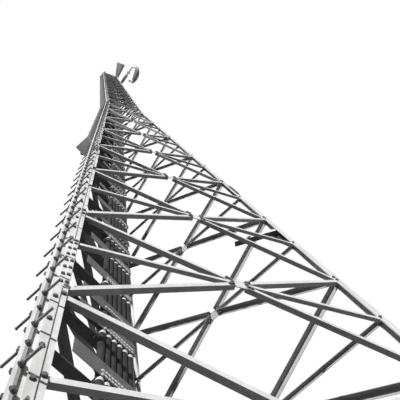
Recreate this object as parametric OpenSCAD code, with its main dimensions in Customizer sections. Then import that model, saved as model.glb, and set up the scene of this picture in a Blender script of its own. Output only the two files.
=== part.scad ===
// Self-supporting lattice tower on three legs, 39 m tall, with X-braced faces, a climbing
// rail with alternate pegs on one leg, cable runs inside it and two antennas near the top.
// Millimetres, +Z up. The origin is the middle of leg A's base plate, on its underside.

/* [Tower] */
// distance from the tower's centre line to the heel of each leg, at the ground
base_radius = 2254; // [1900:1:2600]
// the same distance at the waist, where the taper changes
waist_radius = 832; // [700:1:1000]
// the same distance at the top
top_radius = 581; // [480:1:700]
// height of the waist
waist_height = 21300; // [19000:10:24000]
// height of the tops of the legs
tower_height = 39260; // [35000:10:39500]
// height of the first node above the ground
first_level = 4796; // [4300:1:5600]
// height of the node below that one
base_level = 2780; // [2400:10:3200]
// number of panels above the waist
top_panels = 11; // [6:1:16]

/* [Legs] */
// width of each flange of leg A below the joint
leg_flange = 140; // [125:1:150]
// width of each flange of leg A from the joint to the waist
middle_flange = 118; // [112:1:124]
// width of each flange of leg A above the waist
top_flange = 96; // [92:1:104]
// how much narrower the flanges of the other two legs are below the joint
lighter_lower = 36; // [0:1:40]
// the same from the joint to the waist
lighter_middle = 20; // [0:1:24]
// the same above the waist
lighter_top = 6; // [0:1:8]
// thickness of the legs
leg_thickness = 12; // [8:1:14]
// height of the joint between the two lower lengths of a leg
leg_joint = 10500; // [9000:10:13000]
// length of the splice plates
splice_length = 520; // [300:10:800]
// thickness of the splice plates
splice_thickness = 8; // [6:1:12]
// distance from the heel of leg A to the far edge of the strap on its front flange
strap_edge = 97; // [85:1:105]
// thickness of that strap
strap_thickness = 12; // [6:1:16]
// height of the bottom of the cover plate on leg A
cover_bottom = 4840; // [4700:10:5000]
// length of that cover plate
cover_length = 900; // [500:10:1100]

/* [Bracing] */
// width of the diagonals, in the plane of the face
diagonal_width = 52; // [40:1:60]
// depth of the diagonals, towards the inside
diagonal_depth = 52; // [36:1:56]
// width of the diagonals in the other two faces below the joint
side_diagonal = 70; // [50:1:72]
// depth of those diagonals
side_depth = 62; // [44:1:62]
// how much narrower those diagonals are from the joint to the waist
side_less = 10; // [0:1:14]
// height between the two diagonals that meet at a node, on the leg
node_spread = 140; // [90:2:160]
// width of the struts that run level through the crossings
strut_width = 46; // [40:1:60]
// depth of the struts
strut_depth = 42; // [30:1:55]
// thickness of all bracing angles
brace_thickness = 6; // [4:1:8]
// width of the bracing above the waist
top_brace = 42; // [34:1:46]
// depth of the bracing above the waist
top_depth = 38; // [30:1:40]
// thickness of the bracing above the waist
top_thickness = 5; // [3:1:6]
// height between the diagonals that meet at a node there, beyond half a bar's width, in
// shares of a panel's height
top_spread_share = 0.038715; // [0.036:0.000005:0.041]
// length of the plate at each crossing
hub_length = 230; // [200:5:320]
// height of the plate at each crossing
hub_height = 136; // [110:2:220]
// clear space between the bars at a crossing
hub_gap = 104; // [60:1:120]
// length of the plate at each crossing above the waist
top_hub_length = 160; // [140:5:200]
// height of the plate at each crossing above the waist
top_hub_height = 100; // [80:2:140]
// clear space between the bars at a crossing above the waist
top_hub_gap = 60; // [40:1:80]
// thickness of the plates
plate_thickness = 8; // [6:1:12]

/* [Feet] */
// side of the square base plates
foot_side = 400; // [380:5:460]
// thickness of the base plates
foot_thickness = 25; // [16:1:40]
// spacing of the anchor holes
hole_spacing = 300; // [290:5:320]
// diameter of the anchor holes
hole_diameter = 30; // [22:1:36]

/* [Climbing rail] */
// height of the lower end of the rail
rail_foot = 2200; // [2000:10:2340]
// width of the rail
rail_width = 46; // [30:1:50]
// depth of the rail, outwards from the leg
rail_depth = 20; // [20:1:40]
// gap between the heel of the leg and the rail
rail_gap = 3; // [3:1:20]
// height of the lowest peg
first_peg = 2450; // [2350:10:3500]
// spacing of the pegs on one side of the rail
peg_spacing = 396; // [300:2:600]
// length of the pegs
peg_length = 141; // [110:1:200]
// diameter of the pegs
peg_diameter = 20; // [12:1:20]
// height of the rest plate
rest_height = 11300; // [11270:10:11320]
// length of the rest plate, outwards from the rail
rest_length = 300; // [200:5:340]
// width of the rest plate
rest_width = 235; // [160:5:260]

/* [Cable run] */
// distance from the heel of leg A to the nearer side of the cable run
run_start = 425; // [300:5:440]
// width of the cable run
run_width = 306; // [303:1:350]
// width of the brackets
bracket_width = 76; // [50:1:80]
// height of the lower end of the cables
cables_start = 1000; // [700:10:1250]
// diameter of the cables
cable_diameter = 50; // [20:1:50]
// number of cables
cable_count = 6; // [3:1:6]
// height of the single arm inside leg B
arm_height = 8340; // [8250:10:8500]
// reach of that arm from the heel of the leg
arm_reach = 740; // [400:10:800]

/* [Duct] */
// distance from the middle of the climbing rail to the outer edge of the duct beside leg A
duct_reach = 280; // [200:5:320]
// depth of the lip at that edge
duct_lip = 28; // [20:1:34]
// thickness of the duct's sheet
duct_thickness = 3; // [2:1:4]

/* [Antennas] */
// mouth diameter of the horn
horn_mouth = 560; // [400:10:700]
// diameter of the horn's back
horn_back = 330; // [240:10:380]
// length of the horn
horn_length = 720; // [400:10:900]
// distance of the horn's axis from the middle of the front face
horn_x = 430; // [420:2:470]
// distance of the horn's back from the face
horn_stand = 250; // [150:5:350]
// diameter of the dish
dish_diameter = 1060; // [800:10:1200]
// height of the dish
dish_height = 34500; // [33000:10:36000]
// distance of the dish's vertex from the tower's centre line, along the front face
dish_x = 1400; // [1250:10:1600]
// distance of the dish's axis in front of the tower's centre line
dish_y = 1050; // [950:10:1200]
// distance from the dish's axis to its arm
dish_offset = 400; // [300:10:440]
// diameter of the antenna pipes
pipe_diameter = 60; // [40:1:76]

/* [Hidden] */
foot_radius = base_radius - 60;
panel_shares = [0, 0.1132, 0.2474, 0.3845, 0.5312, 0.6925, 0.8564, 1];
levels = concat([250, base_level],
  [for (s = panel_shares) first_level + s * (waist_height - first_level)]);
top_pitch = (tower_height - 60 - waist_height) / top_panels;
// distance from the heel of a leg at which the bars start on its flanges
bar_start = 70;
function start_at(width, depth) = 22.5 + depth / sqrt(3) + 0.34 * width;
// shares of a panel's height at which the brackets stand, clear of the bars' ends
bracket_shares = [0.07, 0.35, 0.67, 0.93];
// radius and rise of the sphere that the dish is cut from
dish_sphere = dish_diameter * 0.72;
dish_rise = dish_sphere - sqrt(pow(dish_sphere, 2) - pow(dish_diameter / 2, 2));
leg_angles = [210, 330, 90];
// diagonal width and depth, strut width and depth, thickness, plate at the crossing (length,
// least height), clear space at the crossing, height between the diagonals at a node, start
function sizes(w, d) = [w, d, strut_width, strut_depth, brace_thickness, hub_length,
  hub_height, hub_gap, node_spread, start_at(w, d)];
top_sizes = [top_brace, top_depth, top_brace - 4, top_depth - 4, top_thickness,
  top_hub_length, top_hub_height, top_hub_gap,
  top_brace / 2 + top_spread_share * top_pitch, bar_start];

function unit(v) = v / norm(v);
function radius_at(h) = h < waist_height
  ? base_radius + (waist_radius - base_radius) * h / waist_height
  : waist_radius + (top_radius - waist_radius) * (h - waist_height) / (tower_height - waist_height);
function slope(h) = h < waist_height
  ? (waist_radius - base_radius) / waist_height
  : (top_radius - waist_radius) / (tower_height - waist_height);
function heel(phi, h) = [radius_at(h) * cos(phi), radius_at(h) * sin(phi), h];
function face_in(h) = let (m = unit([0, -slope(h) / 2, 1])) [0, m[2], -m[1]];
function on_face(x, h, off, ref) = [x, -radius_at(h) / 2, h] + off * face_in(ref);
function half(h) = radius_at(h) * sqrt(3) / 2;
// distance from the heel of a leg to the node where the bracing lines meet
function node_in(h) = h < leg_joint ? leg_flange : h < waist_height ? middle_flange : top_flange;

// puts the tower's centre line in its place beside leg A's foot
module placed() {
  translate([foot_radius * cos(30), foot_radius * sin(30), 0]) children();
}

// local x, y, z along a, b, c, starting at p
module framed(p, a, b, c) {
  multmatrix([[a[0], b[0], c[0], p[0]], [a[1], b[1], c[1], p[1]],
              [a[2], b[2], c[2], p[2]], [0, 0, 0, 1]]) children();
}

// angle bar from p to q: one flange w wide in the face, the other d deep at its upper edge
// (up = 1) or its lower edge (up = -1)
module bar(p, q, n, w, d, t, up) {
  along = unit(q - p);
  framed(p, n, cross(along, n), along) linear_extrude(height = norm(q - p)) scale([1, -up])
    polygon([[0, -w / 2], [d, -w / 2], [d, t - w / 2], [t, t - w / 2], [t, w / 2], [0, w / 2]]);
}

// ---- legs -------------------------------------------------------------------------------

// 60-degree angle from height h0 to h1, its flanges lying in the two faces beside it
module leg_length(phi, h0, h1, flange) {
  ref = (h0 + h1) / 2;
  turn = phi - 210;
  n = face_in(ref);
  p = heel(210, h0);
  along = unit(heel(210, h1) - p);
  f1 = unit(cross(n, along));
  // the same face normal turned to the face on the other side of the leg
  n2 = [n[0] * cos(240) - n[1] * sin(240), n[0] * sin(240) + n[1] * cos(240), n[2]];
  f2 = -unit(cross(n2, along));
  bend = acos(f1 * f2);
  t = leg_thickness;
  rotate([0, 0, turn]) intersection() {
    framed(p - along * 60, f1, n, along) linear_extrude(height = norm(heel(210, h1) - p) + 120)
      polygon([[0, 0], [flange, 0], [flange, t], [t / tan(bend / 2), t],
               [flange * cos(bend) + t * sin(bend), flange * sin(bend) - t * cos(bend)],
               [flange * cos(bend), flange * sin(bend)]]);
    translate([p[0] - 600, p[1] - 600, h0]) cube([1800, 1800, h1 - h0]);
  }
}

// plate outside the front flange of leg A from height h0 to h1, between distances x0 and x1
// from the heel
module flange_plate(h0, h1, x0, x1, t) {
  ref = (h0 + h1) / 2;
  up = unit([-slope(ref) * sqrt(3) / 2, -slope(ref) / 2, 1]);
  n = face_in(ref);
  framed(on_face(-half(h0), h0, -t, ref), unit(cross(n, up)), n, up)
    translate([x0, 0, 0]) cube([x1 - x0, t, (h1 - h0) / up[2]]);
}

// pairs of plates over one joint, outside both flanges
module leg_splices(phi, flange) {
  for (side = [0, 1]) rotate([0, 0, phi - 210]) mirror_about_leg(side)
    flange_plate(leg_joint - splice_length / 2, leg_joint + splice_length / 2 - 1,
                 16, flange - 6, splice_thickness);
}

// swaps the two faces beside leg A when side is 1
module mirror_about_leg(side) {
  if (side == 0) children();
  else mirror([cos(120), sin(120), 0]) children();
}

// strap along the front flange of leg A, in lengths that leave room for the plates
module leg_strap() {
  for (e = [[foot_thickness, cover_bottom - 10],
            [cover_bottom + cover_length + 10, leg_joint - splice_length / 2 - 10],
            [leg_joint + splice_length / 2 + 10, waist_height - 5]])
    flange_plate(e[0], e[1], 42, strap_edge, strap_thickness);
}

module foot(phi) {
  c = [foot_radius * cos(phi), foot_radius * sin(phi), 0];
  s = foot_side / 2;
  difference() {
    translate([c[0] - s, c[1] - s, 0]) cube([foot_side, foot_side, foot_thickness]);
    for (x = [-1, 1], y = [-1, 1])
      translate([c[0] + x * hole_spacing / 2, c[1] + y * hole_spacing / 2, -1])
        cylinder(d = hole_diameter, h = foot_thickness + 2, $fn = 32);
  }
}

// ---- bracing ----------------------------------------------------------------------------

// height at which the two diagonals of a panel between h0 and h1 cross
function crossing(h0, h1, spread) =
  let (b0 = h0 + spread / 2, b1 = h1 - spread / 2,
       w0 = half(b0) - node_in(h0), w1 = half(b1) - node_in(h1 - 1))
  b0 + (b1 - b0) * w0 / (w0 + w1);

// one panel of the front face between heights h0 and h1, in the sizes listed in m
module panel(h0, h1, m, up) {
  ref = (h0 + h1) / 2;
  n = face_in(ref);
  off = leg_thickness;
  b0 = h0 + m[8] / 2;
  b1 = h1 - m[8] / 2;
  w0 = half(b0) - node_in(h0);
  w1 = half(b1) - node_in(h1 - 1);
  hc = crossing(h0, h1, m[8]);
  c = on_face(0, hc, off, ref);
  g = m[7] / 2;
  rise0 = (hc - b0) / w0;
  rise1 = (b1 - hc) / w1;
  g0 = (g + 20) / norm([1, rise0]);
  g1 = (g + 20) / norm([1, rise1]);
  wc = half(hc) - bar_start;
  a0 = half(b0) - m[9];
  a1 = half(b1) - m[9];
  z0 = hc - a0 * rise0;
  z1 = hc + a1 * rise1;
  // diagonals, each in two halves that stop short of the crossing
  for (e = [[-a0, z0, -g0, hc - g0 * rise0], [g0, hc - g0 * rise0, a0, z0],
            [-a1, z1, -g1, hc + g1 * rise1], [g1, hc + g1 * rise1, a1, z1]])
    bar(on_face(e[0], e[1], off, ref), on_face(e[2], e[3], off, ref), n, m[0], m[1], m[4], up);
  // level struts through the crossing
  for (e = [[-wc, -g], [g, wc]])
    bar(on_face(e[0], hc, off, ref), on_face(e[1], hc, off, ref), n, m[2], m[3], m[4], up);
  // plate behind the crossing
  hub(c + n * m[4], n, m[5], max(m[6], 2 * (g1 * rise1 + 40)));
}

module hub(c, n, long, tall) {
  framed(c, [1, 0, 0], n, cross([1, 0, 0], n))
    translate([-long / 2, 0, -tall / 2]) cube([long, plate_thickness, tall]);
}

module face(i) {
  rotate([0, 0, 120 * i]) children();
}

// the front face has the deep flanges of its bars below, the other two faces above
module bracing(i, first, last) {
  less = first < 5 ? 0 : side_less;
  face(i) for (k = [first:last])
    panel(levels[k], levels[k + 1],
          i == 0 ? sizes(diagonal_width, diagonal_depth)
                 : sizes(side_diagonal - less, side_depth - 0.8 * less),
          i == 0 ? -1 : 1);
}

module top_bracing(i) {
  face(i) for (k = [0:top_panels - 1])
    panel(waist_height + k * top_pitch, waist_height + (k + 1) * top_pitch, top_sizes,
          i == 0 ? -1 : 1);
}

module head_frame() {
  r = top_radius;
  translate([0, 0, tower_height]) linear_extrude(height = 12)
    polygon([for (a = leg_angles) (r + 60) * [cos(a), sin(a)]]);
}

// ---- climbing rail ----------------------------------------------------------------------

// local x tangential to leg A (towards 120 degrees), y outwards, z along the leg
module along_leg(h0) {
  ref = h0 + 1;
  p = heel(210, h0);
  along = unit([slope(ref) * cos(210), slope(ref) * sin(210), 1]);
  tangent = [cos(120), sin(120), 0];
  framed(p, tangent, cross(along, tangent), along) children();
}

module rail(h0, h1, from, end) {
  len = (h1 - h0) / unit([slope(h0 + 1), 0, 1])[2];
  along_leg(h0) {
    translate([-rail_width / 2, rail_gap, 0]) cube([rail_width, rail_depth, len - end]);
    for (z = [from - 100:1500:len - 100]) clip(z);
  }
}

// pegs on one side of the rail between heights h0 and h1, the lowest at z = from
module pegs(h0, h1, from, side) {
  len = (h1 - h0) / unit([slope(h0 + 1), 0, 1])[2];
  along_leg(h0) for (z = [from:peg_spacing:len - 120]) peg(z, side);
}

// round peg that stands on the side of the rail, with a small head at its tip
module peg(z, side) {
  y = rail_gap + rail_depth / 2;
  translate([side * rail_width / 2, y, z]) rotate([0, side * 90, 0])
    cylinder(d = peg_diameter - 2, h = peg_length, $fn = 16);
  translate([side * (rail_width / 2 + peg_length - 7), y, z]) rotate([0, side * 90, 0])
    cylinder(d = peg_diameter, h = 7, $fn = 16);
}

// bent clip that bears on the outside of both flanges
module clip(z) {
  s = 20;
  difference() {
    translate([-s - 8, -s * 1.5, z]) cube([2 * s + 16, s * 1.5 + rail_gap + 4, 8]);
    translate([0, 0, z - 1]) linear_extrude(height = 10)
      polygon([[0, 0], [80, -80 * sqrt(3)], [-80, -80 * sqrt(3)]]);
  }
}

module rest_plate() {
  x0 = rail_width / 2;
  x1 = middle_flange;
  x2 = x0 + rest_length;
  y1 = rail_gap + rail_depth / 2 + rest_width / 2 + 10;
  y0 = y1 - rest_width;
  along_leg(rest_height) linear_extrude(height = 8)
    polygon([[x0, -x0 / sqrt(3)], [x1, -x1 / sqrt(3)], [x1, y0], [x2, y0], [x2, y1], [x0, y1]]);
}

// ---- cable run --------------------------------------------------------------------------

// arms that start in the corner of the leg and reach inwards past the cables
module cable_brackets() {
  reach = run_start + run_width + 15;
  for (k = [0:len(levels) - 2], q = bracket_shares) {
    h = levels[k] + q * (levels[k + 1] - levels[k]);
    if (h > cables_start + 20 && h < waist_height - 60) inner_arm(h, reach);
  }
  for (k = [0:top_panels - 2], q = [0.25, 0.77])
    inner_arm(waist_height + (k + q) * top_pitch, reach);
}

// flat arm that starts in the corner of leg A and reaches inwards
module inner_arm(h, reach) {
  c = leg_thickness / sin(30);
  w = bracket_width / 2;
  along_leg(h) linear_extrude(height = 8)
    polygon([[0, -c], [w, -c - w * sqrt(3)], [w, -reach], [-w, -reach], [-w, -c - w * sqrt(3)]]);
}

module feeder_cables() {
  cable_length(cables_start, waist_height);
  cable_length(waist_height, tower_height - 3200);
}

module cable_length(h0, h1) {
  len = (h1 - h0) / unit([slope(h0 + 1), 0, 1])[2];
  step = run_width / cable_count;
  along_leg(h0) for (k = [0:cable_count - 1])
    translate([-bracket_width / 2 - cable_diameter / 2, -run_start - (k + 0.5) * step, 0])
      cylinder(d = cable_diameter, h = len, $fn = 12);
}

// sheet beside the climbing rail that bears on the outside of leg A's flange, with a lip
module duct(h0, h1) {
  len = (h1 - h0) / unit([slope(h0 + 1), 0, 1])[2];
  t = duct_thickness;
  y0 = -46;
  along_leg(h0) linear_extrude(height = len)
    polygon([[-y0 / sqrt(3) + 0.3, y0], [duct_reach, y0], [duct_reach, y0 + duct_lip],
             [duct_reach - t, y0 + duct_lip], [duct_reach - t, y0 + t],
             [-(y0 + t) / sqrt(3) + 0.3, y0 + t]]);
}

// ---- antennas ---------------------------------------------------------------------------

module rod(p, q, d) {
  v = q - p;
  a = unit(v);
  s = abs(a[2]) > 0.9 ? [1, 0, 0] : [0, 0, 1];
  x = unit(cross(s, a));
  framed(p, x, cross(a, x), a) cylinder(d = d, h = norm(v), $fn = 24);
}

// point x along the front face at height h, out from it by off
function out(x, h, off) = on_face(x, h, -off, h);

module horn_arm() {
  h = tower_height - 320;
  rod(out(horn_x, h, 0.3), out(horn_x, h, horn_stand), pipe_diameter);
}

module horn() {
  h = tower_height - 320;
  n = -face_in(h);
  framed(out(horn_x, h, horn_stand), [1, 0, 0], cross(n, [1, 0, 0]), n) rotate_extrude($fn = 48)
    polygon([[0, 0], [horn_back / 2, 0], [horn_mouth / 2, horn_length],
             [horn_mouth / 2 - 6, horn_length], [horn_back / 2 - 6, 6], [0, 6]]);
}

module dish_arm() {
  h = dish_height;
  x = half(h) - 48;
  knee = [dish_x - dish_rise - 320, -dish_y - dish_offset, h];
  rod(out(x, h, 0), knee, pipe_diameter);
  translate(knee) sphere(d = pipe_diameter + 10, $fn = 24);
  rod(knee, [dish_x - dish_rise - 60, knee[1], h], pipe_diameter);
}

// shallow bowl that faces the tower, held near its rim by a socket
module dish() {
  d = dish_diameter;
  r = dish_sphere;
  translate([dish_x, -dish_y, dish_height]) rotate([0, -90, 0]) rotate_extrude($fn = 48)
    polygon(concat([for (a = [0:6]) [d / 2 * a / 6, r - sqrt(r * r - pow(d / 2 * a / 6, 2))]],
                   [for (a = [6:-1:0]) [d / 2 * a / 6,
                    r + 7 - sqrt(r * r - pow(d / 2 * a / 6, 2))]]));
  sag = r - sqrt(r * r - dish_offset * dish_offset);
  translate([dish_x - dish_rise - 60, -dish_y - dish_offset, dish_height]) rotate([0, 90, 0])
    cylinder(d = pipe_diameter + 24, h = dish_rise + 60 - sag - 4, $fn = 24);
}

// ---- nodes ------------------------------------------------------------------------------

color("silver") placed() foot(210);  // foot_a
color("silver") placed() foot(330);  // foot_b
color("silver") placed() foot(90);  // foot_c
color("gainsboro") placed()  // leg_a_lower
  leg_length(210, foot_thickness, leg_joint, leg_flange);
color("gainsboro") placed()  // leg_a_middle
  leg_length(210, leg_joint, waist_height, middle_flange);
color("gainsboro") placed()  // leg_a_upper
  leg_length(210, waist_height, tower_height, top_flange);
color("gainsboro") placed()  // leg_b_lower
  leg_length(330, foot_thickness, leg_joint, leg_flange - lighter_lower);
color("gainsboro") placed()  // leg_b_middle
  leg_length(330, leg_joint, waist_height, middle_flange - lighter_middle);
color("gainsboro") placed()  // leg_b_upper
  leg_length(330, waist_height, tower_height, top_flange - lighter_top);
color("gainsboro") placed()  // leg_c_lower
  leg_length(90, foot_thickness, leg_joint, leg_flange - lighter_lower);
color("gainsboro") placed()  // leg_c_middle
  leg_length(90, leg_joint, waist_height, middle_flange - lighter_middle);
color("gainsboro") placed()  // leg_c_upper
  leg_length(90, waist_height, tower_height, top_flange - lighter_top);
color("gainsboro") placed() leg_strap();  // leg_a_strap
color("silver") placed() {  // splices_a
  leg_splices(210, middle_flange);
  flange_plate(cover_bottom, cover_bottom + cover_length, 60, leg_flange - 4, splice_thickness + 2);
}
color("silver") placed()  // splices_b
  leg_splices(330, middle_flange - lighter_middle);
color("silver") placed()  // splices_c
  leg_splices(90, middle_flange - lighter_middle);
color("lightgray") placed() bracing(0, 0, 4);  // front_bracing_lower
color("lightgray") placed() bracing(0, 5, 8);  // front_bracing_middle
color("lightgray") placed() top_bracing(0);  // front_bracing_upper
color("lightgray") placed() bracing(1, 0, 4);  // right_bracing_lower
color("lightgray") placed() bracing(1, 5, 8);  // right_bracing_middle
color("lightgray") placed() top_bracing(1);  // right_bracing_upper
color("lightgray") placed() bracing(2, 0, 4);  // left_bracing_lower
color("lightgray") placed() bracing(2, 5, 8);  // left_bracing_middle
color("lightgray") placed() top_bracing(2);  // left_bracing_upper
color("silver") placed() head_frame();
color("darkgray") placed()  // rail_lower
  rail(rail_foot, waist_height, first_peg - rail_foot, 4);
color("darkgray") placed()  // rail_upper
  rail(waist_height, tower_height, 250, 30);
color("dimgray") placed() {  // pegs_left
  pegs(rail_foot, waist_height, first_peg - rail_foot, 1);
  pegs(waist_height, tower_height, 250, 1);
}
color("dimgray") placed() {  // pegs_right
  pegs(rail_foot, waist_height, first_peg - rail_foot + peg_spacing / 2, -1);
  pegs(waist_height, tower_height, 250 + peg_spacing / 2, -1);
}
color("gray") placed() rest_plate();
color("gray") placed() cable_brackets();
color("black") placed() feeder_cables();
color("gray") placed() {  // side_duct
  duct(rest_height + 12, waist_height - 8);
  duct(waist_height + 2, tower_height - 8);
}
color("gray") placed()  // leg_b_arm
  rotate([0, 0, 120]) inner_arm(arm_height, arm_reach);
color("white") placed() horn();
color("silver") placed() horn_arm();
color("gray") placed() dish();
color("silver") placed() dish_arm();
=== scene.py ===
"""Looks for the three-legged lattice tower: galvanised steel, bolts, clamps, studio and camera."""

import math
import random

import bpy
from mathutils import Euler, Matrix, Vector


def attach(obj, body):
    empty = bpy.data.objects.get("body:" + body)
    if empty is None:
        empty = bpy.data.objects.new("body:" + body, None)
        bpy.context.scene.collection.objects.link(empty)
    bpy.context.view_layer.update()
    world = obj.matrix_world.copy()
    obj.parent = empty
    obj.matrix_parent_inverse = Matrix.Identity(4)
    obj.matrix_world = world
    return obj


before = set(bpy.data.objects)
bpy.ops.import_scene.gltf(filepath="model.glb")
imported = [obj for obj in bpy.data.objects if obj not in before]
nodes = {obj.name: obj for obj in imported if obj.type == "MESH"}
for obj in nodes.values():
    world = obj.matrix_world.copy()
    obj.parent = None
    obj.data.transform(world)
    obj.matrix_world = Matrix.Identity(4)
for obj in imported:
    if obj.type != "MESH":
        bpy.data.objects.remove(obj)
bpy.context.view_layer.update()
scene = bpy.context.scene
random.seed(7)

# ---- sizes shared with the construction, in metres ---------------------------------------

BASE_R, WAIST_R, TOP_R = 2.254, 0.832, 0.581    # from the tower's axis to the legs' heels
WAIST_H, TOP_H, JOINT_H = 21.300, 39.260, 10.500
LOWEST_LEVEL, BASE_LEVEL, FIRST_LEVEL = 0.250, 2.780, 4.796
PANEL_SHARES = (0, 0.1132, 0.2474, 0.3845, 0.5312, 0.6925, 0.8564, 1)
LEVELS = [LOWEST_LEVEL, BASE_LEVEL] + [FIRST_LEVEL + s * (WAIST_H - FIRST_LEVEL)
                                       for s in PANEL_SHARES]
TOP_PANELS, TOP_END = 11, 0.060                 # above the waist, and the bare leg over them
TOP_PITCH = (TOP_H - TOP_END - WAIST_H) / TOP_PANELS
FACES = ("front", "right", "left")

FLANGES = (0.140, 0.118, 0.096)                 # leg A's: lower, middle and top length
LIGHTER = (0.036, 0.020, 0.006)                 # how much narrower the other legs' are
LEG_T, PLATE_T, BRACE_T, TOP_T = 0.012, 0.008, 0.006, 0.005
STRAP_EDGE, STRAP_T = 0.097, 0.012
COVER_FOOT, COVER_LENGTH, COVER_T = 4.840, 0.900, 0.010
SPLICE_IN, SPLICE_LESS = 0.016, 0.022           # plate's edge from the heel, flange less plate

BAR_START, BAR_SPREAD, TOP_SPREAD = 0.070, 0.140, 0.084
HUB_GAP, TOP_HUB_GAP, HUB_CLEAR = 0.104, 0.060, 0.020
FRONT_BAR, SIDE_BAR, SIDE_MIDDLE = (0.052, 0.052), (0.070, 0.062), (0.060, 0.054)
MIDDLE_LEVEL = LEVELS[5]                        # where the side faces' bars grow lighter

FOOT_R, FOOT_T, ANCHOR_SPACING = BASE_R - 0.060, 0.025, 0.300
RAIL_FOOT, RAIL_W, RAIL_D, RAIL_GAP = 2.200, 0.046, 0.020, 0.003
FIRST_PEG, TOP_FIRST_PEG, PEG_STEP, PEG_MARGIN = 2.450, 0.250, 0.396, 0.120
REST_H, DUCT_REACH = 11.300, 0.280
DUCT_RUNS = ((REST_H + 0.012, WAIST_H - 0.008), (WAIST_H + 0.002, TOP_H - 0.008))
RUN_START, RUN_WIDTH, CABLES, CABLE_D = 0.425, 0.306, 6, 0.050
CABLES_FOOT, CABLES_TOP = 1.000, TOP_H - 3.200
BRACKET_FOOT, BRACKET_HEAD = 0.020, 0.060       # clear of the cables' foot and of the waist
BRACKET_W, BRACKET_SHARES, TOP_BRACKET_SHARES = 0.076, (0.07, 0.35, 0.67, 0.93), (0.25, 0.77)
ARM_H, ARM_REACH = 8.340, 0.740
HORN_X, HORN_H, HORN_STAND, HORN_BACK = 0.430, TOP_H - 0.320, 0.250, 0.330
DISH_D, DISH_X, DISH_Y, DISH_H, DISH_OFFSET = 1.060, 1.400, 1.050, 34.500, 0.400
DISH_SPHERE = DISH_D * 0.72
DISH_DEPTH = DISH_SPHERE - math.sqrt(DISH_SPHERE ** 2 - (DISH_D / 2) ** 2)

NUDGE = 0.001                                   # keeps a height on one side of a joint
LEG_A = math.radians(210)
# The frame starts under leg A. The functions below count from the tower's axis.
CENTRE = FOOT_R * Vector((math.cos(math.radians(30)), math.sin(math.radians(30)), 0))
TANGENT = Vector((math.cos(math.radians(120)), math.sin(math.radians(120)), 0))
UP = Vector((0, 0, 1))


# ---- places on the tower -----------------------------------------------------------------

def radius_at(h):
    """Distance of the legs' heels from the tower's axis."""
    if h < WAIST_H:
        return BASE_R + (WAIST_R - BASE_R) * h / WAIST_H
    return WAIST_R + (TOP_R - WAIST_R) * (h - WAIST_H) / (TOP_H - WAIST_H)


def slope(h):
    """Change of that distance with height."""
    if h < WAIST_H:
        return (WAIST_R - BASE_R) / WAIST_H
    return (TOP_R - WAIST_R) / (TOP_H - WAIST_H)


def half(h):
    """Half a face's width between the legs' heels."""
    return radius_at(h) * math.sqrt(3) / 2


def zone_at(h):
    """0, 1 or 2: the lower, middle or top length of a leg."""
    return 0 if h < JOINT_H else 1 if h < WAIST_H else 2


def flange_width(i, s, zone):
    """Width of the leg flange on side s of face i. Leg A has side -1 of face 0, 1 of face 2."""
    return FLANGES[zone] - (0 if (i, s) in ((0, -1), (2, 1)) else LIGHTER[zone])


def inward(h):
    """Inward normal of the front face."""
    up = Vector((0, -slope(h) / 2, 1)).normalized()
    return Vector((0, up.z, -up.y))


def on_face(x, h, off, ref):
    """Point of the front face, moved inwards by off along the normal at height ref."""
    return Vector((x, -radius_at(h) / 2, h)) + off * inward(ref)


def turned(v, i):
    """A vector of the front face turned to face i."""
    return Matrix.Rotation(math.radians(120 * i), 3, "Z") @ v


def leg_axes(h):
    """Leg A's directions at height h: sideways, outwards and along the leg."""
    along = Vector((slope(h) * math.cos(LEG_A), slope(h) * math.sin(LEG_A), 1)).normalized()
    return TANGENT, along.cross(TANGENT), along


def by_leg(h, x, y, ref=None):
    """Point beside leg A's heel at height h, x sideways and y outwards."""
    heel = Vector((radius_at(h) * math.cos(LEG_A), radius_at(h) * math.sin(LEG_A), h))
    sideways, out, _ = leg_axes(h if ref is None else ref)
    return heel + sideways * x + out * y


def on_flange(i, s, h, d, off):
    """Point outside a leg's flange in face i, d from the heel and off the flange, and its normal."""
    return turned(on_face(s * (half(h) - d), h, -off, h), i), turned(-inward(h), i)


def steps(start, stop, pitch):
    """Places from start to stop, a pitch apart."""
    at = start
    while at < stop:
        yield at
        at += pitch


def circle(sides):
    """Directions to the corners of a regular outline, as (cosine, sine)."""
    return [(math.cos(2 * math.pi * k / sides), math.sin(2 * math.pi * k / sides))
            for k in range(sides)]


# ---- mesh helpers ------------------------------------------------------------------------

# A bolt's parts, as shares of its thread's diameter.
WASHER_D, WASHER_T = 1.95, 0.16
HEX_FLATS, HEX_CORNERS, HEX_CHAMFER = 1.6, 1.1547, 0.1    # corners as a share of the flats
HEAD_H, NUT_H = 0.62, 0.78
END_FOOT, END_D, END_H = 0.9, 0.95, 0.35
ARC_STEPS = 8
HEX, OCTAGON, COARSE, ROUND, FINE = 6, 8, 12, 16, 24      # sides of a prism


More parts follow.
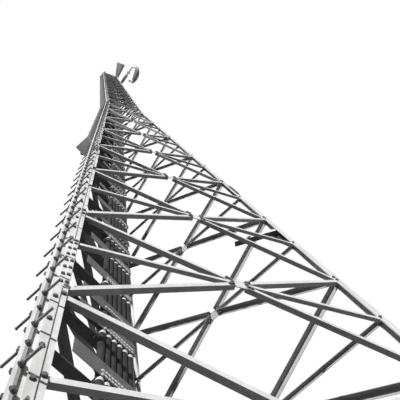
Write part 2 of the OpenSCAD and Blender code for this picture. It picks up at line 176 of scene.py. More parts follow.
class Bag:
    """Collects faces for one piece."""

    def __init__(self):
        self.v, self.f = [], []

    def prism(self, centre, axis, across, height, sides, chamfer=0.0, spin=0.0):
        """A prism standing on centre along axis, its top edge chamfered."""
        axis = axis.normalized()
        s = axis.orthogonal().normalized()
        t = axis.cross(s)
        r = across / 2
        rings = [(0.0, r), (height, r)]
        if chamfer:
            rings = [(0.0, r), (height - chamfer, r), (height, r - chamfer)]
        base = len(self.v)
        for z, ring_r in rings:
            for k in range(sides):
                a = spin + 2 * math.pi * k / sides
                self.v.append(centre + axis * z + (s * math.cos(a) + t * math.sin(a)) * ring_r)
        for low in range(base, base + (len(rings) - 1) * sides, sides):
            high = low + sides
            for k in range(sides):
                after = (k + 1) % sides
                self.f.append((low + k, low + after, high + after, high + k))
        top = base + (len(rings) - 1) * sides
        self.f.append(tuple(range(top, top + sides)))
        self.f.append(tuple(range(base + sides - 1, base - 1, -1)))

    def block(self, centre, a, b, c, size):
        """A box around centre, its sides along a, b and c."""
        base = len(self.v)
        for x in (-.5, .5):
            for y in (-.5, .5):
                for z in (-.5, .5):
                    self.v.append(centre + a * x * size[0] + b * y * size[1] + c * z * size[2])
        for side in ((0, 1, 3, 2), (4, 6, 7, 5), (0, 4, 5, 1),
                     (2, 3, 7, 6), (0, 2, 6, 4), (1, 5, 7, 3)):
            self.f.append(tuple(base + k for k in side))

    def bar(self, a, b, u, v, profile):
        """A profile of (u, v) points swept from a to b."""
        base, k = len(self.v), len(profile)
        for p in (a, b):
            self.v.extend(p + u * q[0] + v * q[1] for q in profile)
        for i in range(k):
            j = (i + 1) % k
            self.f.append((base + i, base + j, base + k + j, base + k + i))
        self.f.append(tuple(base + i for i in reversed(range(k))))
        self.f.append(tuple(base + k + i for i in range(k)))

    def saddle(self, c, u, v, w, r, thick, wide, legs):
        """A strap bent round c on the side of +u, its legs running back along -u."""
        turns = [math.pi * k / ARC_STEPS for k in range(ARC_STEPS + 1)]
        arches = [[(-legs, q)] + [(q * math.sin(a), q * math.cos(a)) for a in turns] + [(-legs, -q)]
                  for q in (r, r + thick)]
        base, n = len(self.v), len(arches[0])
        for z in (-wide / 2, wide / 2):
            for arch in arches:
                self.v.extend(c + u * q[0] + v * q[1] + w * z for q in arch)
        in0, out0, in1, out1 = base, base + n, base + 2 * n, base + 3 * n
        for k in range(n - 1):
            self.f += [(in0 + k, in0 + k + 1, in1 + k + 1, in1 + k),
                       (out0 + k + 1, out0 + k, out1 + k, out1 + k + 1),
                       (in0 + k + 1, in0 + k, out0 + k, out0 + k + 1),
                       (in1 + k, in1 + k + 1, out1 + k + 1, out1 + k)]
        end = n - 1
        self.f += [(in0, in1, out1, out0), (in0 + end, out0 + end, out1 + end, in1 + end)]

    def bolt(self, face, out, size, grip):
        """Hex head and washer on face, washer, nut and thread end on the far side."""
        far = face - out * grip
        for at, way, tall in ((face, out, HEAD_H), (far, -out, NUT_H)):
            self.prism(at, way, size * WASHER_D, size * WASHER_T, COARSE)
            self.prism(at + way * size * WASHER_T, way, size * HEX_FLATS * HEX_CORNERS,
                       size * tall, HEX, size * HEX_CHAMFER, random.uniform(0, 1))
        self.prism(far - out * size * END_FOOT, -out, size * END_D, size * END_H, OCTAGON)

    def make(self, name, material, slot):
        """Makes the piece, moved from the tower's axis to its place in the frame."""
        mesh = bpy.data.meshes.new(name)
        mesh.from_pydata([tuple(p + CENTRE) for p in self.v], [], self.f)
        mesh.validate()
        mesh.update()
        ob = bpy.data.objects.new(name, mesh)
        scene.collection.objects.link(ob)
        mesh.materials.append(material)
        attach(ob, "root")


# ---- materials ---------------------------------------------------------------------------

class Graph:
    """A shader's nodes. Each input is given as a value or as another node's output."""

    def __init__(self, tree):
        self.tree = tree
        tree.nodes.clear()

    def add(self, kind, inputs=None, **settings):
        """Adds a node and returns its outputs."""
        node = self.tree.nodes.new("ShaderNode" + kind)
        for name, value in settings.items():
            setattr(node, name, value)
        for name, value in (inputs or {}).items():
            if isinstance(value, bpy.types.NodeSocket):
                self.tree.links.new(value, node.inputs[name])
            else:
                node.inputs[name].default_value = value
        return node.outputs

    def ranged(self, value, span, result, **settings):
        """The value's place in span, carried over to result."""
        return self.add("MapRange", {"Value": value, "From Min": span[0], "From Max": span[1],
                                     "To Min": result[0], "To Max": result[1]},
                        **settings)["Result"]

    def blend(self, a, b, share):
        """Colour a, replaced by colour b to this share."""
        return self.add("Mix", {"A": a, "B": b, "Factor": share}, data_type="RGBA")["Result"]

    def seen_directly(self):
        """1 for rays of the camera, mirrors and glass, 0 for the light that falls on the tower."""
        rays = self.add("LightPath")
        seen = self.add("Math", {0: rays["Is Camera Ray"], 1: rays["Is Glossy Ray"]},
                        operation="MAXIMUM")["Value"]
        return self.add("Math", {0: seen, 1: rays["Is Transmission Ray"]},
                        operation="MAXIMUM")["Value"]


# Colour of the painted shade that darkens the bracing towards the top.
PAINTED_SHADE = (0.07, 0.07, 0.07, 1)
RUST = (0.16, 0.13, 0.11, 1)
# From where to where painted shade grows up the bracing, and the share it reaches.
TOP_PAINTED_SHADE = (WAIST_H - 1.5, WAIST_H + 2.5, 0.75)


def steel(name, light, dark, rough, spangle=55.0, stain=0.25, rust=0.0, painted_shade=None):
    """Weathered zinc: crystal spangle, long weather streaks, stains and a fine bump; painted shade
    that grows with height, where asked.
    """
    material = bpy.data.materials.new(name)
    material.use_nodes = True
    graph = Graph(material.node_tree)
    place = graph.add("TexCoord")["Object"]
    crystals = graph.add("TexVoronoi", {"Vector": place, "Scale": spangle})["Color"]
    crystal = graph.add("SeparateColor", {"Color": crystals})
    stretched = graph.add("Mapping", {"Vector": place, "Scale": (9.0, 9.0, 1.1)})["Vector"]
    streaks = graph.add("TexNoise", {"Vector": stretched, "Scale": 1.6, "Detail": 6.0})["Fac"]
    patches = graph.add("TexNoise", {"Vector": place, "Scale": 2.3, "Detail": 4.0})["Fac"]
    shape = graph.add("NewGeometry")

    share = graph.ranged(crystal["Red"], (0.0, 1.0), (0.55, 1.0))
    colour = graph.blend((*dark, 1), (*light, 1), share)
    # stains where streaks and patches meet
    meet = graph.add("Math", {0: streaks, 1: patches}, operation="MULTIPLY")["Value"]
    stained = (dark[0] * 0.55, dark[1] * 0.53, dark[2] * 0.5, 1)
    colour = graph.blend(colour, stained, graph.ranged(meet, (0.22, 0.40), (0.0, stain)))
    # worn, brighter edges, where the bevelled normal leaves the true one
    bevelled = graph.add("Bevel", {"Radius": 0.004}, samples=2)["Normal"]
    flat = graph.add("VectorMath", {0: shape["Normal"], 1: bevelled},
                     operation="DOT_PRODUCT")["Value"]
    worn = (*[min(1, light[0] * 1.12)] * 3, 1)
    colour = graph.blend(colour, worn, graph.ranged(flat, (0.97, 0.80), (0.0, 0.45)))
    if rust:
        specks = graph.add("TexNoise", {"Vector": place, "Scale": 18.0, "Detail": 8.0})["Fac"]
        colour = graph.blend(colour, RUST, graph.ranged(specks, (0.56, 0.68), (0.0, rust)))
    # painted shade: the colour darkens with height, standing in for the shade of the top section
    if painted_shade:
        foot, top, most = painted_shade
        height = graph.add("SeparateXYZ", {"Vector": shape["Position"]})["Z"]
        colour = graph.blend(colour, PAINTED_SHADE, graph.ranged(height, (foot, top), (0.0, most)))

    roughness = graph.ranged(crystal["Green"], (0.0, 1.0), (rough - 0.08, rough + 0.12))
    grain = graph.add("TexNoise", {"Vector": place, "Scale": 240.0, "Detail": 3.0})["Fac"]
    bump = graph.add("Bump", {"Height": grain, "Strength": 0.25, "Distance": 0.0006})["Normal"]
    surface = graph.add("BsdfPrincipled", {"Base Color": colour, "Roughness": roughness,
                                           "Specular IOR Level": 0.22, "Normal": bump})["BSDF"]
    graph.add("OutputMaterial", {"Surface": surface})
    return material


LEG = steel("leg_zinc", (0.80, 0.80, 0.80), (0.62, 0.63, 0.63), 0.60, stain=0.45)
BRACE = steel("brace_zinc", (0.78, 0.78, 0.78), (0.60, 0.61, 0.61), 0.62, 48.0, painted_shade=TOP_PAINTED_SHADE)
# Right and left faces: a darker copy of the bracing's zinc, painted shade for faces seen from
# inside.
SIDE_SHADED = steel("side_zinc_shaded", (0.50, 0.50, 0.50), (0.38, 0.39, 0.39), 0.62, 48.0, stain=0.4,
             painted_shade=TOP_PAINTED_SHADE)
# A brighter copy of zinc for the rest plate: painted light that lifts its shaded underside.
REST_LIT = steel("rest_zinc_lit", (0.92, 0.92, 0.92), (0.84, 0.84, 0.84), 0.60, 60.0)
PLATE = steel("plate_zinc", (0.82, 0.82, 0.82), (0.66, 0.66, 0.66), 0.58, 62.0)
# Near-black copy of zinc for leg B's arm, the cable brackets and the counter plates: painted shade
# for their undersides, with stains on top.
ZINC_SHADED = steel("zinc_painted_shade", (0.21, 0.21, 0.21), (0.13, 0.13, 0.13), 0.75, 50.0, stain=0.5)
# Near-black: painted shade for the dark wedge inside leg B's flange.
SHADE_BLACK = steel("shade_black", (0.060, 0.060, 0.060), (0.035, 0.035, 0.035), 0.80, 40.0)
RAIL = steel("rail_zinc", (0.76, 0.76, 0.76), (0.54, 0.55, 0.55), 0.58, 70.0, stain=0.4)
BOLT = steel("bolt_zinc", (0.17, 0.17, 0.17), (0.07, 0.07, 0.07), 0.60, 160.0, rust=0.5)
SHEATH = steel("cable_black", (0.045, 0.045, 0.047), (0.022, 0.022, 0.023), 0.85, 12.0)
# A darker copy of zinc for the pegs: painted shade for their dark undersides and sides.
PEG_SHADED = steel("peg_zinc_shaded", (0.42, 0.42, 0.42), (0.26, 0.26, 0.265), 0.55, 90.0)
DUCT = steel("duct_grey", (0.21, 0.21, 0.21), (0.15, 0.15, 0.15), 0.85, 60.0)
PAINT = steel("antenna_grey", (0.62, 0.63, 0.64), (0.52, 0.53, 0.54), 0.45, 20.0)

# A node of the construction takes the first material whose word its name starts with.
FINISHES = (("leg_b_arm", ZINC_SHADED), ("cable_brackets", ZINC_SHADED), ("leg_", LEG),
            ("front_bracing", BRACE), ("right_bracing", SIDE_SHADED), ("left_bracing", SIDE_SHADED),
            ("rail_", RAIL), ("pegs_", PEG_SHADED), ("rest_plate", REST_LIT), ("side_duct", DUCT),
            ("feeder_cables", SHEATH), ("horn_arm", PLATE), ("dish_arm", PLATE),
            ("horn", PAINT), ("dish", PAINT), ("", PLATE))


def dress_nodes():
    """Gives every node of the construction its material."""
    for name, ob in nodes.items():
        finish = next(material for start, material in FINISHES if name.startswith(start))
        if not ob.material_slots:
            ob.data.materials.append(finish)
        for slot in ob.material_slots:
            slot.material = finish


# ---- bolts of the bracing ----------------------------------------------------------------

BOLT_D, TOP_BOLT_D = 0.020, 0.012
HUB_BOLTS = (0.020, 0.055)                      # from a bar's end at the crossing
DIAGONAL_CLEAR, DIAGONAL_SKEW = 0.0225, 0.34    # from the heel, and per width of the bar


def start_at(bar):
    """Distance from a leg's heel at which a diagonal of this width and depth starts."""
    width, depth = bar
    return DIAGONAL_CLEAR + depth / math.sqrt(3) + DIAGONAL_SKEW * width


def panel_bars(h0, h1, gap, spread, start):
    """A panel's bars: (side, end at the leg, end at the crossing, is it a strut)."""
    ref = (h0 + h1) / 2
    foot, head = h0 + spread / 2, h1 - spread / 2
    foot_w = half(foot) - FLANGES[zone_at(h0)]
    head_w = half(head) - FLANGES[zone_at(h1 - NUDGE)]
    crossing = foot + (head - foot) * foot_w / (foot_w + head_w)
    bars = []
    for s in (-1, 1):
        for h, w in ((foot, foot_w), (head, head_w)):
            rise = (h - crossing) / w
            far = half(h) - start
            near = (gap / 2 + HUB_CLEAR) / math.hypot(1, rise)
            bars.append((s, on_face(s * far, crossing + far * rise, LEG_T, ref),
                         on_face(s * near, crossing + near * rise, LEG_T, ref), False))
        far = half(crossing) - BAR_START
        bars.append((s, on_face(s * far, crossing, LEG_T, ref),
                     on_face(s * gap / 2, crossing, LEG_T, ref), True))
    return bars, inward(ref)


def flange_bolt(i, s, h):
    """Distance from the heel of the bolt that holds a bar on a leg's flange."""
    zone = zone_at(h)
    if (i, s) == (0, -1) and zone < 2:
        return (STRAP_EDGE + FLANGES[zone]) / 2
    return (BAR_START + flange_width(i, s, zone)) / 2


def face_bolts(i, panels, gap, spread, size, bar_t, name):
    """Bolts at both ends of every bar of face i."""
    bag = Bag()
    for h0, h1 in panels:
        if h0 > WAIST_H - NUDGE:
            start = BAR_START
        elif i == 0:
            start = start_at(FRONT_BAR)
        else:
            start = start_at(SIDE_BAR if h0 < MIDDLE_LEVEL - NUDGE else SIDE_MIDDLE)
        bars, n = panel_bars(h0, h1, gap, spread, start)
        for s, leg_end, hub_end, strut in bars:
            d = (hub_end - leg_end).normalized()
            reach = flange_bolt(i, s, leg_end.z) - (BAR_START if strut else start)
            p = leg_end + d * (reach / abs(d.x)) - n * LEG_T
            bag.bolt(turned(p, i), turned(-n, i), size, LEG_T + bar_t)
            for back in HUB_BOLTS[:1] if strut else HUB_BOLTS:
                bag.bolt(turned(hub_end - d * back, i), turned(-n, i), size, bar_t + PLATE_T)
    bag.make(name, BOLT, "plate_steel")


def bracing_bolts():
    """The bolts of all three faces, below and above the waist."""
    lower = list(zip(LEVELS[:-1], LEVELS[1:]))
    upper = [(WAIST_H + k * TOP_PITCH, WAIST_H + (k + 1) * TOP_PITCH) for k in range(TOP_PANELS)]
    for i, face in enumerate(FACES):
        face_bolts(i, lower, HUB_GAP, BAR_SPREAD, BOLT_D, BRACE_T, face + "_bolts")
        face_bolts(i, upper, TOP_HUB_GAP, TOP_SPREAD, TOP_BOLT_D, TOP_T, face + "_top_bolts")


# ---- bolts of the legs -------------------------------------------------------------------

SPLICE_ROWS = (-0.225, -0.160, -0.095, -0.030, 0.030, 0.095, 0.160, 0.225)
SPLICE_COLUMNS = (0.25, 0.75)                   # shares of the plate's width
LEG_BOLT_D = 0.018
COVER_COLUMNS, COVER_ROWS, COVER_MARGIN, COVER_PITCH = (0.078, 0.118), 7, 0.060, 0.130
COVER_BOLT_D = 0.016
STRAP_BOLT_AT, STRAP_PITCH = 0.070, 0.297
STRAP_RUNS = ((0.200, COVER_FOOT - 0.050),      # clear of the cover plate and the splice
              (COVER_FOOT + COVER_LENGTH + 0.050, JOINT_H - 0.300),
              (JOINT_H + 0.300, WAIST_H - 0.100))


def leg_bolts():
    """Bolts of the splices, and of the cover plate and the strap on leg A's front flange."""
    bag = Bag()
    for i in range(3):
        for s in (-1, 1):
            width = flange_width(i, s, zone_at(JOINT_H)) - SPLICE_LESS
            for share in SPLICE_COLUMNS:
                for row in SPLICE_ROWS:
                    face, out = on_flange(i, s, JOINT_H + row, SPLICE_IN + share * width, PLATE_T)
                    bag.bolt(face, out, LEG_BOLT_D, PLATE_T + LEG_T)
    for d in COVER_COLUMNS:
        for k in range(COVER_ROWS):
            h = COVER_FOOT + COVER_MARGIN + COVER_PITCH * k
            face, out = on_flange(0, -1, h, d, COVER_T)
            bag.bolt(face, out, COVER_BOLT_D, COVER_T + LEG_T)
    for low, high in STRAP_RUNS:
        for h in steps(low, high, STRAP_PITCH):
            face, out = on_flange(0, -1, h, STRAP_BOLT_AT, STRAP_T)
            bag.bolt(face, out, LEG_BOLT_D, STRAP_T + LEG_T)
    bag.make("leg_bolts", BOLT, "plate_steel")


ANCHOR_D, ANCHOR_TALL, ANCHOR_CHAMFER = 0.027, 0.055, 0.002
ANCHOR_WASHER_D, ANCHOR_WASHER_T = 0.050, 0.005
ANCHOR_NUT_D, ANCHOR_NUT_H, NUT_CHAMFER = 0.0473, 0.022, 0.003


def anchor_bolts():
    """Four anchor bolts through each leg's base plate, with washers and nuts."""
    bag = Bag()
    for i in range(3):
        angle = math.radians(210 + 120 * i)
        foot = Vector((FOOT_R * math.cos(angle), FOOT_R * math.sin(angle), FOOT_T))
        for x in (-ANCHOR_SPACING / 2, ANCHOR_SPACING / 2):
            for y in (-ANCHOR_SPACING / 2, ANCHOR_SPACING / 2):
                c = foot + Vector((x, y, 0))
                bag.prism(c, UP, ANCHOR_WASHER_D, ANCHOR_WASHER_T, FINE)
                bag.prism(c + UP * ANCHOR_WASHER_T, UP, ANCHOR_NUT_D, ANCHOR_NUT_H, HEX,
                          NUT_CHAMFER, random.uniform(0, 1))
                bag.prism(c - UP * FOOT_T, UP, ANCHOR_D, FOOT_T + ANCHOR_TALL, ROUND,
                          ANCHOR_CHAMFER)
    bag.make("anchor_bolts", BOLT, "plate_steel")


# ---- climbing rail -----------------------------------------------------------------------

PEG_WASHER_D, PEG_WASHER_T, PEG_NUT_D = 0.044, 0.004, 0.036
PEG_NUT_H, BACK_NUT_H = 0.018, 0.014            # on the peg's side of the rail, and behind it


def pegs():
    """(height, height that sets the direction, side) of every peg, as in the construction."""
    for foot, top, first in ((RAIL_FOOT, WAIST_H, FIRST_PEG - RAIL_FOOT),
                             (WAIST_H, TOP_H, TOP_FIRST_PEG)):
        ref = foot + NUDGE
        rise = leg_axes(ref)[2].z
        end = (top - foot) / rise - PEG_MARGIN
        for side, start in ((1, first), (-1, first + PEG_STEP / 2)):
            for z in steps(start, end, PEG_STEP):
                yield foot + z * rise, ref, side


def peg_nuts():
    """A washer and a nut on both sides of the rail at every peg."""
    bag = Bag()
    for h, ref, side in pegs():
        sideways = leg_axes(ref)[0]
        middle = by_leg(h, 0, RAIL_GAP + RAIL_D / 2, ref)
        for way, tall in ((side, PEG_NUT_H), (-side, BACK_NUT_H)):
            root = middle + sideways * (way * RAIL_W / 2)
            bag.prism(root, sideways * way, PEG_WASHER_D, PEG_WASHER_T, COARSE)
            bag.prism(root + sideways * (way * PEG_WASHER_T), sideways * way, PEG_NUT_D, tall,
                      HEX, NUT_CHAMFER, random.uniform(0, 1))
    bag.make("peg_nuts", BOLT, "rail_steel")


# ---- cable run ---------------------------------------------------------------------------

CABLE_PITCH = RUN_WIDTH / CABLES
SADDLE_T, SADDLE_W, SADDLE_LEG, SADDLE_RISE, SADDLE_BITE = 0.004, 0.030, 0.024, 0.004, 0.0004
BLOCK_SIZE, BLOCK_RISE = (0.024, 0.030, 0.018), 0.017
COUNTER_T, COUNTER_W, COUNTER_RISE = 0.004, 0.150, 0.098
COUNTER_EXTRA, COUNTER_TAIL = 0.012, 0.200      # past the cables, and towards the leg
COUNTER_BOLT_D, COUNTER_ROWS = 0.012, (0.016, 0.052)
LADDER_FROM, LADDER_TO, LADDER_DEPTH, LADDER_T, LADDER_GAP = -0.030, 0.012, 0.044, 0.006, 0.015


def bracket_heights():
    """Heights of the brackets, as in the construction."""
    lower = [low + q * (high - low) for low, high in zip(LEVELS[:-1], LEVELS[1:])
             for q in BRACKET_SHARES]
    upper = [WAIST_H + (k + q) * TOP_PITCH for k in range(TOP_PANELS - 1)
             for q in TOP_BRACKET_SHARES]
    return [h for h in lower if CABLES_FOOT + BRACKET_FOOT < h < WAIST_H - BRACKET_HEAD] + upper


def clamped_places():
    """Where each cable is clamped: the height, and how far outwards of leg A's heel."""
    for h in bracket_heights():
        if h <= CABLES_TOP:
            for k in range(CABLES):
                yield h, -RUN_START - (k + 0.5) * CABLE_PITCH


def cable_clamps():
    """A saddle over every cable at every bracket."""
    bag = Bag()
    for h, y in clamped_places():
        sideways, out, along = leg_axes(h)
        middle = by_leg(h, -BRACKET_W / 2 - CABLE_D / 2, y) + along * SADDLE_RISE
        bag.saddle(middle, -sideways, out, along, CABLE_D / 2 - SADDLE_BITE, SADDLE_T, SADDLE_W,
                   CABLE_D / 2 + SADDLE_LEG)
    bag.make("cable_clamps", PLATE, "plate_steel")


def counter_plates():
    """Plates over the cables below the waist, each with two rows of bolts."""
    plates, bolts = Bag(), Bag()
    x = -BRACKET_W / 2 - CABLE_D - COUNTER_T / 2
    size = (COUNTER_T, RUN_WIDTH + COUNTER_EXTRA + COUNTER_TAIL, COUNTER_W)
    for h in bracket_heights():
        if h > WAIST_H:
            continue
        sideways, out, along = leg_axes(h)
        middle = by_leg(h, x, -RUN_START - RUN_WIDTH / 2) + along * COUNTER_RISE
        plates.block(middle + out * (COUNTER_TAIL / 2), sideways, out, along, size)
        for k in range(2 * CABLES - 1):
            y = (k - CABLES + 1) * CABLE_PITCH / 2
            for row in COUNTER_ROWS:
                face = middle + out * y + along * (row - COUNTER_W / 2) - sideways * (COUNTER_T / 2)
                bolts.bolt(face, -sideways, COUNTER_BOLT_D, COUNTER_T)
    # the plates take the near-black copy of zinc with painted shade
    plates.make("counter_plates", ZINC_SHADED, "plate_steel")
    bolts.make("counter_bolts", PLATE, "plate_steel")


def clamp_blocks():
    """A small block on the bracket behind every saddle."""
    bag = Bag()
    for h, y in clamped_places():
        sideways, out, along = leg_axes(h)
        middle = by_leg(h, BLOCK_SIZE[0] / 2 - BRACKET_W / 2, y) + along * BLOCK_RISE
        bag.block(middle, sideways, out, along, BLOCK_SIZE)
    bag.make("clamp_blocks", PLATE, "plate_steel")


def ladder_rail():
    """An angle that joins the brackets' inner ends."""
    bag = Bag()
    profile = [(LADDER_FROM, 0), (LADDER_FROM, -LADDER_DEPTH),
               (LADDER_FROM + LADDER_T, -LADDER_DEPTH), (LADDER_FROM + LADDER_T, -LADDER_T),
               (LADDER_TO, -LADDER_T), (LADDER_TO, 0)]
    y = -(RUN_START + RUN_WIDTH + LADDER_GAP)
    for low, high in ((CABLES_FOOT, WAIST_H), (WAIST_H, CABLES_TOP)):
        ref = low + NUDGE
        sideways, out, _ = leg_axes(ref)
        bag.bar(by_leg(low, 0, y, ref), by_leg(high, 0, y, ref), sideways, out, profile)
    bag.make("ladder_rail", PLATE, "plate_steel")


# ---- level struts above the waist --------------------------------------------------------

STRUT_W, STRUT_DEPTH, STRUT_CUT = 0.042, 0.056, 0.075


def top_struts():
    """Level angles where panels meet: one leg flat in the face, a shorter one standing inwards."""
    for i, face in enumerate(FACES):
        bag = Bag()
        across = turned(Vector((1, 0, 0)), i)
        edge = -STRUT_W / 2 if i == 0 else STRUT_W / 2
        inner = edge + TOP_T if i == 0 else edge - TOP_T
        for k in range(1, TOP_PANELS):
            h = WAIST_H + k * TOP_PITCH
            n = turned(inward(h), i)
            rise = across.cross(n)
            middle = turned(on_face(0, h, LEG_T + TOP_T, h), i)
            reach = across * (half(h) - BAR_START)
            bag.bar(middle - reach, middle + reach, rise, n,
                    [(-STRUT_W / 2, 0), (STRUT_W / 2, 0),
                     (STRUT_W / 2, TOP_T), (-STRUT_W / 2, TOP_T)])
            reach = across * (half(h) - BAR_START - STRUT_CUT)
            bag.bar(middle - reach, middle + reach, rise, n,
                    [(edge, TOP_T), (edge, STRUT_DEPTH), (inner, STRUT_DEPTH), (inner, TOP_T)])
        # the side faces take the darker copy of zinc with painted shade
        bag.make(face + "_top_struts", BRACE if i == 0 else SIDE_SHADED, "bracing_steel")


# ---- riser beside the duct ---------------------------------------------------------------

RISER_D, RISER_Y, RISER_SEAT, RISER_SIDES = 0.072, -0.022, 0.0003, 20
CLIP_T, CLIP_W, CLIP_LEG = 0.004, 0.040, 0.012
CLIP_FIRST, CLIP_PITCH, CLIP_MARGIN = 0.400, 1.200, 0.100


def riser_pipe():
    """A pipe along the duct's outer edge, held by clips."""
    bag = Bag()
    r = RISER_D / 2
    x = DUCT_REACH + r + RISER_SEAT
    profile = [(r * c, r * s) for c, s in circle(RISER_SIDES)]
    for low, high in DUCT_RUNS:
        ref = low + NUDGE
        sideways, out, along = leg_axes(ref)
        bag.bar(by_leg(low, x, RISER_Y, ref), by_leg(high, x, RISER_Y, ref), sideways, out, profile)
        for z in steps(CLIP_FIRST, (high - low) / along.z - CLIP_MARGIN, CLIP_PITCH):
            middle = by_leg(low + z * along.z, x, RISER_Y, ref)
            bag.saddle(middle, sideways, out, along, r, CLIP_T, CLIP_W, r + CLIP_LEG)
    bag.make("riser_pipe", DUCT, "duct_steel")


# ---- fittings of leg B's arm -------------------------------------------------------------

# Outline of the root plate: from the heel along the flange, and from the arm along the leg.
GUSSET = ((0.035, -0.450), (0.115, -0.450), (0.175, -0.120), (0.175, 0.060), (0.035, 0.060))
GUSSET_T, GUSSET_SEAT = 0.008, 0.0002
LIP_START, LIP_X, LIP_T, LIP_FROM, LIP_TO = 0.100, 0.032, 0.006, 0.008, 0.060


def arm_gusset():
    """The root plate inside leg B's flange, near-black: painted shade for the dark wedge there."""
    sideways, out, along = leg_axes(ARM_H)
    flange = -0.5 * sideways - math.sin(math.radians(60)) * out
    seat, back = (turned(by_leg(ARM_H, 0, 0) + inward(ARM_H) * (LEG_T + off), 1)
                  for off in (GUSSET_SEAT, GUSSET_SEAT + GUSSET_T))
    bag = Bag()
    bag.bar(back, seat, turned(flange, 1), turned(along, 1), GUSSET)
    bag.make("arm_gusset", SHADE_BLACK, "plate_steel")


def arm_lip():
    """An upright lip along the arm."""
    sideways, _, along = leg_axes(ARM_H)
    bag = Bag()
    bag.bar(turned(by_leg(ARM_H, 0, -LIP_START), 1), turned(by_leg(ARM_H, 0, -ARM_REACH), 1),
            turned(sideways, 1), turned(along, 1),
            [(LIP_X, LIP_FROM), (LIP_X + LIP_T, LIP_FROM), (LIP_X + LIP_T, LIP_TO), (LIP_X, LIP_TO)])
    bag.make("arm_lip", PLATE, "plate_steel")


# ---- antenna mounts ----------------------------------------------------------------------

UNIT_SHARE, UNIT_START, UNIT_GAP, UNIT_CHAMFER = 0.86, 0.020, 0.001, 0.020
ARM_START_IN, KNEE_AHEAD = 0.048, 0.320
RIM_MIDDLE = Vector((DISH_X - DISH_DEPTH, -DISH_Y, DISH_H))
# Each sleeve's start and length as shares of the arm, offset, diameter and chamfer.
SLEEVES = ((0.0, 0.50, 0.020, 0.190, 0.010), (0.50, 0.46, 0.019, 0.100, 0.006))
COLLAR_AT, COLLAR_D, COLLAR_LENGTH, COLLAR_CHAMFER = 0.62, 0.230, 0.100, 0.012
FEED_ROOT = Vector((0.020, DISH_D / 2 - 0.060, 0))
FEED_WAY = Vector((-0.300, -0.040, 0)).normalized()
# The feed's stub and head: offset, diameter, length and chamfer.
FEED_PARTS = ((0.0, 0.070, 0.220, 0.006), (0.218, 0.150, 0.090, 0.010))
SHROUD_DEPTH, SHROUD_T, SHROUD_SIDES = 0.080, 0.006, 64


def horn_unit():
    """The eight-sided unit between the front face and the horn."""
    bag = Bag()
    bag.prism(on_face(HORN_X, HORN_H, -UNIT_START, HORN_H), -inward(HORN_H), HORN_BACK * UNIT_SHARE,
              HORN_STAND - UNIT_START - UNIT_GAP, OCTAGON, UNIT_CHAMFER)
    bag.make("horn_unit", PAINT, "antenna_paint")


def dish_arm_sleeve():
    """Two sleeves and a collar on the dish's arm."""
    start = on_face(half(DISH_H) - ARM_START_IN, DISH_H, 0, DISH_H)
    knee = RIM_MIDDLE - Vector((KNEE_AHEAD, DISH_OFFSET, 0))
    axis = (knee - start).normalized()
    run = (knee - start).length
    bag = Bag()
    for share, length, offset, across, chamfer in SLEEVES:
        bag.prism(start + axis * (offset + run * share), axis, across, run * length, ROUND, chamfer)
    bag.prism(start + axis * (run * COLLAR_AT), axis, COLLAR_D, COLLAR_LENGTH, OCTAGON,
              COLLAR_CHAMFER)
    bag.make("dish_arm_sleeve", PLATE, "plate_steel")


def dish_feed():
    """The feed at the dish's rim: a stub and a wider head."""
    root = RIM_MIDDLE + FEED_ROOT
    bag = Bag()
    for offset, across, length, chamfer in FEED_PARTS:
        bag.prism(root + FEED_WAY * offset, FEED_WAY, across, length, ROUND, chamfer)
    bag.make("dish_feed", PAINT, "antenna_paint")


def dish_shroud():
    """A thin band in front of the dish's rim, on the side that faces the tower."""
    bag = Bag()
    outer, inner = DISH_D / 2, DISH_D / 2 - SHROUD_T
    for x, r in ((0, outer), (-SHROUD_DEPTH, outer), (-SHROUD_DEPTH, inner), (0, inner)):
        bag.v.extend(RIM_MIDDLE + Vector((x, r * c, r * s)) for c, s in circle(SHROUD_SIDES))
    for i in range(4):
        ring, after = i * SHROUD_SIDES, (i + 1) % 4 * SHROUD_SIDES
        for j in range(SHROUD_SIDES):
            k = (j + 1) % SHROUD_SIDES
            bag.f.append((ring + j, after + j, after + k, ring + k))
    bag.make("dish_shroud", PAINT, "antenna_paint")


# ---- making the pieces -------------------------------------------------------------------

dress_nodes()
bracing_bolts()
leg_bolts()
anchor_bolts()
peg_nuts()
cable_clamps()
counter_plates()
clamp_blocks()
ladder_rail()
top_struts()
riser_pipe()
arm_gusset()
arm_lip()
horn_unit()
dish_arm_sleeve()
dish_feed()
dish_shroud()

# ---- studio ------------------------------------------------------------------------------

SUN_FROM = Vector((-0.50, -0.72, 0.48))
FLOOR_R, FLOOR_DROP, FLOOR_SIDES = 15.0, 0.002, 96
# Soft lamps: what each one lights, its place from there, its watts, cone in degrees and radius.
SOFT_SPOTS = (
    ("horn_fill", on_face(HORN_X, HORN_H, -0.650, HORN_H), (-2.0, -6.0, -5.0), 1500, 11, 0.4),
    ("dish_fill", Vector((DISH_X, -DISH_Y, DISH_H)), (-5.0, -4.0, -5.0), 1000, 11, 0.4),
    ("rest_fill", by_leg(REST_H, 0.175, 0.015), (-0.9, -0.7, -4.5), 160, 7, 0.3))


def pale_sky():
    """White where it is seen directly. The light that it gives grows with height."""
    scene.world = bpy.data.worlds.new("studio")
    scene.world.use_nodes = True
    graph = Graph(scene.world.node_tree)
    height = graph.add("SeparateXYZ", {"Vector": graph.add("TexCoord")["Generated"]})["Z"]
    strength = graph.ranged(height, (-0.15, 0.70), (0.02, 0.30), interpolation_type="SMOOTHSTEP")
    sky = graph.add("Background", {"Strength": strength})["Background"]
    white = graph.add("Background", {"Color": (1, 1, 1, 1), "Strength": 1.0})["Background"]
    both = graph.add("MixShader", {"Fac": graph.seen_directly(), 1: sky, 2: white})["Shader"]
    graph.add("OutputWorld", {"Surface": both})


def aim(ob, way):
    """Points a lamp along way."""
    ob.rotation_euler = way.to_track_quat("-Z", "Y").to_euler()


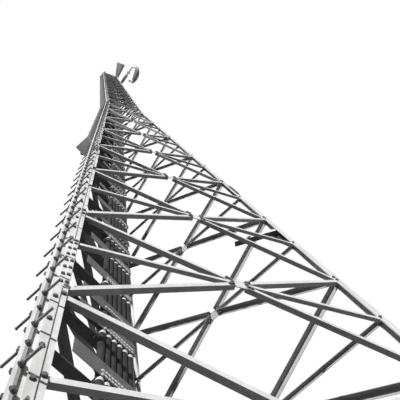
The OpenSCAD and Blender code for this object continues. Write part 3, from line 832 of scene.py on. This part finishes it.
def sun():
    """One hard light from the front left."""
    lamp = bpy.data.lights.new("key", "SUN")
    lamp.energy = 4.15
    lamp.angle = math.radians(3)
    ob = bpy.data.objects.new("key", lamp)
    scene.collection.objects.link(ob)
    aim(ob, -SUN_FROM)


def soft_spot(name, target, place, watts, degrees, radius):
    """A soft lamp that lights one place, itself unseen."""
    offset = Vector(place)
    lamp = bpy.data.lights.new(name, "SPOT")
    lamp.energy = watts
    lamp.spot_size = math.radians(degrees)
    lamp.spot_blend = 0.6
    lamp.shadow_soft_size = radius
    ob = bpy.data.objects.new(name, lamp)
    scene.collection.objects.link(ob)
    ob.location = target + CENTRE + offset
    aim(ob, -offset)
    ob.visible_camera = False
    ob.visible_glossy = False


def pale_floor():
    """A disc that looks pale and throws little light up at the tower."""
    mesh = bpy.data.meshes.new("floor")
    mesh.from_pydata([(CENTRE.x + FLOOR_R * c, CENTRE.y + FLOOR_R * s, -FLOOR_DROP)
                      for c, s in circle(FLOOR_SIDES)], [], [tuple(range(FLOOR_SIDES))])
    floor = bpy.data.objects.new("floor", mesh)
    scene.collection.objects.link(floor)
    material = bpy.data.materials.new("floor_pale")
    material.use_nodes = True
    graph = Graph(material.node_tree)
    pale = graph.add("BsdfPrincipled", {"Base Color": (0.82, 0.82, 0.81, 1), "Roughness": 0.9})
    dull = graph.add("BsdfDiffuse", {"Color": (0.10, 0.10, 0.10, 1)})
    both = graph.add("MixShader", {"Fac": graph.seen_directly(), 1: dull["BSDF"], 2: pale["BSDF"]})
    graph.add("OutputMaterial", {"Surface": both["Shader"]})
    mesh.materials.append(material)


pale_sky()
sun()
for spot in SOFT_SPOTS:
    soft_spot(*spot)
pale_floor()

# ---- camera ------------------------------------------------------------------------------

EYE = Vector((-1.8283, -2.5713, 1.600))         # in front of leg A, 1.6 m above the ground
EYE_TURN = (162.3136, 10.9042, -19.7146)        # degrees about x, y and z: steeply up
LENS, SENSOR_W, VIEW_END = 47.128, 36.0, 500


def camera():
    """The eye looks up the front face."""
    cam = bpy.data.cameras.new("view")
    cam.sensor_width = SENSOR_W
    cam.lens = LENS
    cam.clip_end = VIEW_END
    view = bpy.data.objects.new("view", cam)
    scene.collection.objects.link(view)
    turn = Euler([math.radians(a) for a in EYE_TURN]).to_matrix().to_4x4()
    view.matrix_world = Matrix.Translation(EYE + CENTRE) @ turn
    scene.camera = view


camera()
scene.view_settings.view_transform = "Standard"
